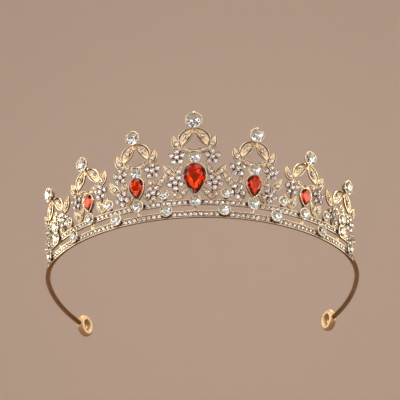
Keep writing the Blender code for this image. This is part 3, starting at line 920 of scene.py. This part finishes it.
def add_row(gold, stones, bottom, top, seats):
    """Row of small stones with a pair of beads between neighbours, left out under large stones."""
    middle = 0.5 * (bottom + top)
    pitch = MOTIF_PITCH / ROW_STONES_PER_PITCH
    count = int((RAIL_END_S - ROW_END_GAP) / pitch)
    for i in range(-count, count + 1):
        s = i * pitch
        if min(abs(s - seat) for seat in seats) > STONE_CLEARANCE:
            add_stone(stones, flat_frame(s, middle), ROW_STONE, RAIL_RIM_D, tilt=ROW_STONE_TURN * i)
        s += 0.5 * pitch
        if min(abs(s - seat) for seat in seats) > BEAD_CLEARANCE:
            spot = flat_frame(s, middle)
            for h in (-ROW_BEAD_H, ROW_BEAD_H):
                add_bead(gold, spot, ROW_BEAD_RADIUS, RAIL_RIM_D, (0.0, h), ROW_BEAD_SIDES)


def add_rail_seat(gold, s, rail, h):
    """Bar across the rail with the cup of a large stone on it."""
    bottom, top = rail
    add_ribbon(gold, [(0.0, bottom + SEAT_BAR_GAP), (0.0, top - SEAT_BAR_GAP)], SEAT_BAR, s)
    add_setting(gold, flat_frame(s, h), RAIL_STONE_RADIUS, RAIL_SETTING)


def make_stone(name, spot, stone, d, node, materials=CLEAR, record_slot="clear_crystal"):
    """A large stone, which is a piece of its own and stands for its CAD node."""
    shape = Shape()
    add_stone(shape, spot, stone, d)
    piece = shape.make(name, materials, record_slot, (node,))
    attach(piece, "crown")


def finish_gold(shape, name, nodes):
    """Makes a casting with three materials in slot order: bright cast gold, dark gold of painted shade and
    matt gold.
    """
    piece = shape.make(name, (CAST_GOLD, PAINTED_SHADE_GOLD, FACE_GOLD), "gold_plate", nodes)
    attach(piece, "crown")


def finish_stones(shape, name, nodes=()):
    """Makes one piece of all the small stones of a casting."""
    piece = shape.make(name, SMALL, "clear_crystal", nodes)
    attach(piece, "crown")


def make_lower_rail():
    gold, stones = Shape(), Shape()
    places = [-s for s in reversed(LOWER_STONE_S)] + list(LOWER_STONE_S)
    add_rail(gold, *LOWER_RAIL)
    add_row(gold, stones, *LOWER_RAIL, places)
    large = round_stone(RAIL_STONE_RADIUS)
    for i, s in enumerate(places):
        add_rail_seat(gold, s, LOWER_RAIL, LOWER_STONE_H)
        spot = flat_frame(s, LOWER_STONE_H)
        make_stone(f"lower_stone_{i + 1}", spot, large, RAIL_GIRDLE_D, f"lower_crystal_{i + 1}")
    base, tip, width = END_LEAF
    for side in (-1, 1):
        side_base, side_tip = (side * base[0], base[1]), (side * tip[0], tip[1])
        add_leaf(gold, stones, side * RAIL_END_S, side_base, side_tip, width)
    finish_gold(gold, "lower_rail_casting", ("lower_rail",))
    finish_stones(stones, "lower_row_stones", ("lower_crystal_row",))


def make_upper_rail():
    gold, stones = Shape(), Shape()
    places = [k * MOTIF_PITCH for k in MOTIF_PLACES]
    add_rail(gold, *UPPER_RAIL)
    add_row(gold, stones, *UPPER_RAIL, places)
    large = round_stone(RAIL_STONE_RADIUS)
    post = [(0.0, LOWER_RAIL[1] - POST_OVERLAP[0]), (0.0, UPPER_RAIL[0] + POST_OVERLAP[1])]
    for k, s in zip(MOTIF_PLACES, places):
        h = UPPER_STONE_H[abs(k)]
        number = k + MIDDLE_NUMBER
        spot = flat_frame(s, h)
        add_rail_seat(gold, s, UPPER_RAIL, h)
        add_ribbon(gold, post, RAIL_POST, s, POST_SLOTS)
        make_stone(f"upper_stone_{number}", spot, large, RAIL_GIRDLE_D, f"upper_crystal_{number}")
    add_spacers(gold)
    for side in (-1, 1):
        add_flower(gold, stones, side * END_FLOWER_S, (0.0, END_FLOWER_H), True)
    finish_gold(gold, "upper_rail_casting", ("upper_rail",))
    finish_stones(stones, "upper_row_stones", ("upper_crystal_row",))


def add_spacers(gold):
    """Round stones on bars above the upper rail, between the motifs."""
    stone = round_stone(SPACER_RADIUS)
    bar = [(0.0, UPPER_RAIL[1] - SPACER_BAR_OVERLAP), (0.0, SPACER_H)]
    places = [-s for s in reversed(SPACER_S)] + list(SPACER_S)
    for i, s in enumerate(places):
        spot = flat_frame(s, SPACER_H)
        add_ribbon(gold, bar, SPACER_BAR, s)
        add_setting(gold, spot, SPACER_RADIUS, SPACER_SETTING)
        make_stone(f"spacer_stone_{i + 1}", spot, stone, SPACER_GIRDLE_D, f"spacer_crystal_{i + 1}")


# Motifs

END_LEVEL = 3
# Leaves of the crest: width, bow and the share at which the stone sits.
UPPER_LEAF = (4.8, -1.0, 0.5)
OUTER_LEAF = (3.6, -0.3, 0.45)
INNER_LEAF = (2.3, -0.5, 0.6)
# Places from the apex: the tip of the upper leaf and the base of the inner one. The inner leaf's tip is
# measured from the outer leaf's base across, and from the apex up.
UPPER_TIP = (0.1, 0.5)
INNER_BASE = (0.3, -10.0)
INNER_TIP = (-0.2, -7.9)
# Leaves below the crest, for each level: base, tip, width and bow. Their stones sit half way.
LOWER_LEAVES = (
    (
        ((8.2, 18.6), (12.9, 24.9), 3.5, -0.3),
        ((8.0, 18.6), (5.5, 24.2), 3.1, 0.2),
        ((7.0, 8.6), (2.4, 13.6), 2.9, -0.6),
        ((7.0, 8.6), (10.9, 12.6), 2.6, 0.4),
    ),
    (
        ((7.6, 14.8), (12.9, 21.7), 3.1, -0.8),
        ((7.2, 14.9), (5.2, 20.0), 2.5, 0.2),
        ((6.0, 8.4), (2.2, 12.2), 2.4, -0.4),
    ),
    (
        ((6.9, 8.6), (4.0, 15.2), 2.9, -0.3),
        ((6.9, 8.6), (10.2, 15.0), 2.8, 0.3),
    ),
    (((5.6, 8.6), (2.2, 12.4), 2.3, -0.3),),
)
# The upright leaf that the end motifs have in place of a pear: base, tip and width.
MIDDLE_LEAF = ((0.0, 16.0), (0.0, 21.2), 3.3)
# Bars: where the ones from the rail and the level ones start, how far below the apex the spine ends, and
# the ends of the top bar from the apex.
ROOT_U = 6.2
CROSS_U = 3.0
SPINE_DROP = 9.0
TOP_BAR_ENDS = (-1.5, 1.6)


def motif_leaves(level):
    """Leaves of the right half: base, tip, width, bow and the share at which the stone sits."""
    apex = APEX_H[level]
    upper_base, outer_base, outer_tip = CREST[level]
    upper_tip = (UPPER_TIP[0], apex + UPPER_TIP[1])
    inner_base = (INNER_BASE[0], apex + INNER_BASE[1])
    inner_tip = (outer_base[0] + INNER_TIP[0], apex + INNER_TIP[1])
    crest = [
        (upper_base, upper_tip, *UPPER_LEAF),
        (outer_base, outer_tip, *OUTER_LEAF),
        (inner_base, inner_tip, *INNER_LEAF),
    ]
    return crest + [(*leaf, 0.5) for leaf in LOWER_LEAVES[level]]


def motif_flowers(level):
    """Flowers of the right half: centre, and whether a petal points up."""
    flowers = [((FLOWER_U, APEX_H[level] - FLOWER_DROP[level]), True)]
    if level < len(LOWER_FLOWER):
        flowers.append((LOWER_FLOWER[level], False))
    return flowers


def motif_bars(level):
    """Bars behind the stones that hold the casting together, for the right half."""
    upper = (FLOWER_U, APEX_H[level] - FLOWER_DROP[level])
    root = (ROOT_U, UPPER_RAIL[1])
    bars = [[CREST[level][1], upper]]
    if level < len(LOWER_FLOWER):
        lower = LOWER_FLOWER[level]
        bars += [[root, lower], [(CROSS_U, lower[1]), lower]]
    else:
        bars += [[root, upper]]
    return bars


def add_openwork(gold, stones, s0, level):
    """Leaves, flowers and bars in mirrored pairs, and the spine between them."""
    for base, tip, width, bow, share in motif_leaves(level):
        add_leaf(gold, stones, s0, base, tip, width, bow, share)
        left_base, left_tip = (-base[0], base[1]), (-tip[0], tip[1])
        add_leaf(gold, stones, s0, left_base, left_tip, width, -bow, share)
    for side in (-1, 1):
        for (u, h), petal_up in motif_flowers(level):
            add_flower(gold, stones, s0, (side * u, h), petal_up)
        for bar in motif_bars(level):
            add_ribbon(gold, [(side * u, h) for u, h in bar], SIDE_BAR, s0)
    add_ribbon(gold, [(0.0, UPPER_RAIL[1]), (0.0, APEX_H[level] - SPINE_DROP)], SPINE_BAR, s0)


def add_pear(gold, s0, level, number):
    spot = flat_frame(s0, PEAR_H[level])
    size = PEAR_SIZE[level]
    node = f"pear_crystal_{number}"
    add_pear_setting(gold, spot, size)
    make_stone(f"pear_stone_{number}", spot, pear_stone(size), PEAR_GIRDLE_D, node, RED, "red_crystal")


def add_middle_stone(gold, s0, level, number):
    spot = flat_frame(s0, APEX_H[level] - MID_STONE_DROP)
    stone = round_stone(MID_STONE_RADIUS)
    add_setting(gold, spot, MID_STONE_RADIUS, MID_SETTING)
    make_stone(f"middle_stone_{number}", spot, stone, MID_GIRDLE_D, f"middle_crystal_{number}")


def add_top_stone(gold, s0, level, number):
    apex = APEX_H[level]
    radius = TOP_STONE_RADIUS[level]
    spot = flat_frame(s0, apex + TOP_STONE_RISE[level])
    bar = [(0.0, apex + end) for end in TOP_BAR_ENDS]
    add_ribbon(gold, bar, TOP_BAR, s0, POST_SLOTS)
    add_setting(gold, spot, radius, TOP_SETTING, TOP_CUP_SIDES)
    make_stone(f"top_stone_{number}", spot, round_stone(radius), TOP_GIRDLE_D, f"top_crystal_{number}")


def make_motif(k):
    level = abs(k)
    number = k + MIDDLE_NUMBER
    s0 = k * MOTIF_PITCH
    gold, stones = Shape(), Shape()
    add_openwork(gold, stones, s0, level)
    if level == END_LEVEL:
        add_leaf(gold, stones, s0, *MIDDLE_LEAF)
    else:
        add_pear(gold, s0, level, number)
    if level in MID_STONE_LEVELS:
        add_middle_stone(gold, s0, level, number)
    add_top_stone(gold, s0, level, number)
    finish_gold(gold, f"motif_casting_{number}", (f"motif_{number}",))
    finish_stones(stones, f"motif_small_stones_{number}")


# Stage, light and camera

FLOOR_Z = -0.6
FLOOR_FRONT_Y = -6.0
WALL_Y = 3.4
WALL_TOP_Z = 7.0
SWEEP_RADIUS = 1.2
SWEEP_STEPS = 12
SWEEP_HALF_WIDTH = 7.0
SWEEP_COLOUR = (0.345, 0.252, 0.212)
# What a camera sees beyond the floor, close to the floor's own tone.
WALL_COLOUR = (0.5, 0.4, 0.28)
LIGHT_AIM = (0.0, -0.05, 0.02)
# Lights: name, position, size, power and colour.
LIGHTS = (
    ("key", (-0.5, -1.0, 0.75), 0.5, 2.2, (1.0, 0.95, 0.88)),
    ("fill", (0.8, -1.0, 0.6), 0.5, 1.4, (1.0, 0.95, 0.88)),
    ("low", (-0.5, -1.0, -0.35), 0.3, 1.0, (1.0, 0.93, 0.88)),
    ("left", (1.2, 0.48, 0.4), 0.45, 2.8, (1.0, 0.96, 0.76)),
    ("right", (-1.2, 0.48, 0.4), 0.45, 2.8, (1.0, 0.96, 0.76)),
    ("left_front", (1.1, -0.32, 0.55), 0.25, 0.7, (1.0, 0.96, 0.76)),
    ("right_front", (-1.1, -0.32, 0.55), 0.25, 0.7, (1.0, 0.96, 0.76)),
    ("left_high", (0.8, 0.3, 0.9), 0.25, 0.8, (1.0, 0.96, 0.8)),
    ("right_high", (-0.8, 0.3, 0.9), 0.25, 0.8, (1.0, 0.96, 0.8)),
    ("top", (0.1, 0.1, 1.0), 0.5, 2.5, (1.0, 0.98, 0.96)),
    ("crown", (0.0, -0.68, 0.73), 0.25, 0.25, (1.0, 0.97, 0.94)),
    ("spark_1", (-0.25, -0.9, 0.5), 0.06, 0.4, (1.0, 1.0, 1.0)),
    ("spark_2", (0.45, -0.85, 0.4), 0.06, 0.4, (1.0, 1.0, 1.0)),
    ("spark_3", (0.1, -0.95, -0.2), 0.05, 0.3, (1.0, 1.0, 1.0)),
)
# The light on the wall behind, with the point that it is aimed at after its position.
WALL_LIGHT = ("wall", (0.0, 1.2, 1.6), (0.0, 3.2, 0.8), 1.5, 22, (1.0, 0.95, 0.9))
# The room that the metal and stones reflect: a tint from its front to its back, and the colours that its
# panels are shared out among.
PANEL_SCALE = 6.0
ROOM_STRENGTH = 0.94
SIDE_TINT = (
    (0.1, (1.0, 1.0, 1.0)),
    (0.34, (1.6, 1.62, 1.3)),
    (0.82, (1.9, 1.9, 1.35)),
)
PANEL_LEVELS = (
    (0.0, (0.04, 0.032, 0.028)),
    (0.2, (0.22, 0.19, 0.17)),
    (0.4, (0.85, 0.83, 0.8)),
    (0.62, (2.1, 2.1, 2.1)),
)
# The camera looks up at the front from below, as the tiara is held in the air.
CAMERA_ELEVATION = math.radians(-26.25)
CAMERA_YAW = math.radians(1.99)
CAMERA_ROLL = math.radians(-0.57)
CAMERA_AIM = (0.00197, -0.0644, 0.00943)
CAMERA_DISTANCE = 0.7
CAMERA_LENS = 142.35
CAMERA_SENSOR = 36
CAMERA_NEAR = 0.01


def add_light(name, position, aim, size, power, colour):
    data = bpy.data.lights.new(name, "AREA")
    data.shape = "DISK"
    data.size = size
    data.energy = power
    data.color = colour
    light = bpy.data.objects.new(name, data)
    light.location = position
    light.rotation_euler = (Vector(aim) - Vector(position)).to_track_quat("-Z", "Y").to_euler()
    bpy.context.scene.collection.objects.link(light)


def make_stage():
    """Pale sweep: a floor well below the tiara, a curve and a wall behind."""
    curve_y, curve_z = WALL_Y - SWEEP_RADIUS, FLOOR_Z + SWEEP_RADIUS
    profile = [(FLOOR_FRONT_Y, FLOOR_Z)]
    for i in range(SWEEP_STEPS + 1):
        a = math.pi / 2 * i / SWEEP_STEPS
        profile.append((curve_y + SWEEP_RADIUS * math.sin(a), curve_z - SWEEP_RADIUS * math.cos(a)))
    profile.append((WALL_Y, WALL_TOP_Z))
    points = [(x, y, z) for y, z in profile for x in (-SWEEP_HALF_WIDTH, SWEEP_HALF_WIDTH)]
    faces = [(2 * i, 2 * i + 1, 2 * i + 3, 2 * i + 2) for i in range(len(profile) - 1)]
    mesh = bpy.data.meshes.new("sweep")
    mesh.from_pydata(points, [], faces)
    mesh.polygons.foreach_set("use_smooth", [True] * len(faces))
    sweep = bpy.data.objects.new("sweep", mesh)
    bpy.context.scene.collection.objects.link(sweep)
    made, _, _, shader = node_material("pale_sweep")
    shader.inputs["Base Color"].default_value = (*SWEEP_COLOUR, 1)
    shader.inputs["Roughness"].default_value = 0.9
    mesh.materials.append(made)


def panel_colour(nodes, links, direction):
    """Panels of the room: one colour for each cell of a pattern round the object."""
    panels = nodes.new("ShaderNodeTexVoronoi")
    panels.inputs["Scale"].default_value = PANEL_SCALE
    links.new(direction, panels.inputs["Vector"])
    split = nodes.new("ShaderNodeSeparateColor")
    links.new(panels.outputs["Color"], split.inputs["Color"])
    levels = nodes.new("ShaderNodeValToRGB")
    set_ramp(levels, PANEL_LEVELS, "CONSTANT")
    links.new(split.outputs["Red"], levels.inputs["Fac"])
    return levels.outputs["Color"]


def side_tint(nodes, links, direction):
    """Tint of the room by how far back it is seen."""
    heading = nodes.new("ShaderNodeSeparateXYZ")
    links.new(direction, heading.inputs["Vector"])
    rescale = nodes.new("ShaderNodeMapRange")
    rescale.inputs["From Min"].default_value = -1.0
    links.new(heading.outputs["Y"], rescale.inputs["Value"])
    tint = nodes.new("ShaderNodeValToRGB")
    set_ramp(tint, SIDE_TINT, "EASE")
    links.new(rescale.outputs["Result"], tint.inputs["Fac"])
    return tint.outputs["Color"]


def studio_world():
    """Room of soft bright and dark panels for the stones to reflect; a camera sees it plain."""
    world = bpy.data.worlds.new("studio")
    world.use_nodes = True
    nodes, links = world.node_tree.nodes, world.node_tree.links
    plain = nodes["Background"]
    plain.inputs["Color"].default_value = (*WALL_COLOUR, 1)
    plain.inputs["Strength"].default_value = 1.0
    direction = nodes.new("ShaderNodeTexCoord").outputs["Generated"]
    shade = nodes.new("ShaderNodeMix")
    shade.data_type = "RGBA"
    shade.blend_type = "MULTIPLY"
    shade.inputs["Factor"].default_value = 1.0
    # The colour sockets of a Mix node share their names with its number sockets.
    links.new(panel_colour(nodes, links, direction), shade.inputs[6])
    links.new(side_tint(nodes, links, direction), shade.inputs[7])
    room = nodes.new("ShaderNodeBackground")
    room.inputs["Strength"].default_value = ROOM_STRENGTH
    links.new(shade.outputs[2], room.inputs["Color"])
    ray = nodes.new("ShaderNodeLightPath")
    mix = nodes.new("ShaderNodeMixShader")
    links.new(ray.outputs["Is Camera Ray"], mix.inputs["Fac"])
    links.new(room.outputs["Background"], mix.inputs[1])
    links.new(plain.outputs["Background"], mix.inputs[2])
    links.new(mix.outputs["Shader"], nodes["World Output"].inputs["Surface"])
    bpy.context.scene.world = world


def make_lights():
    for name, position, size, power, colour in LIGHTS:
        add_light(name, position, LIGHT_AIM, size, power, colour)
    add_light(*WALL_LIGHT)


def make_camera():
    level = math.cos(CAMERA_ELEVATION)
    back = Vector((math.sin(CAMERA_YAW) * level, -math.cos(CAMERA_YAW) * level, math.sin(CAMERA_ELEVATION)))
    right = Vector((0, 0, 1)).cross(back).normalized()
    up = back.cross(right)
    tilted_right = math.cos(CAMERA_ROLL) * right + math.sin(CAMERA_ROLL) * up
    tilted_up = math.cos(CAMERA_ROLL) * up - math.sin(CAMERA_ROLL) * right
    data = bpy.data.cameras.new("camera")
    data.lens = CAMERA_LENS
    data.sensor_width = CAMERA_SENSOR
    data.clip_start = CAMERA_NEAR
    camera = bpy.data.objects.new("camera", data)
    place = Matrix((tilted_right, tilted_up, back)).transposed().to_4x4()
    place.translation = Vector(CAMERA_AIM) + CAMERA_DISTANCE * back
    camera.matrix_world = place
    bpy.context.scene.collection.objects.link(camera)
    bpy.context.scene.camera = camera


def main():
    make_wire("left_head_wire", 1, "left_arm")
    make_wire("right_head_wire", -1, "right_arm")
    make_lower_rail()
    make_upper_rail()
    for k in MOTIF_PLACES:
        make_motif(k)
    make_stage()
    studio_world()
    make_lights()
    bpy.context.scene.view_settings.view_transform = "Standard"
    make_camera()


main()
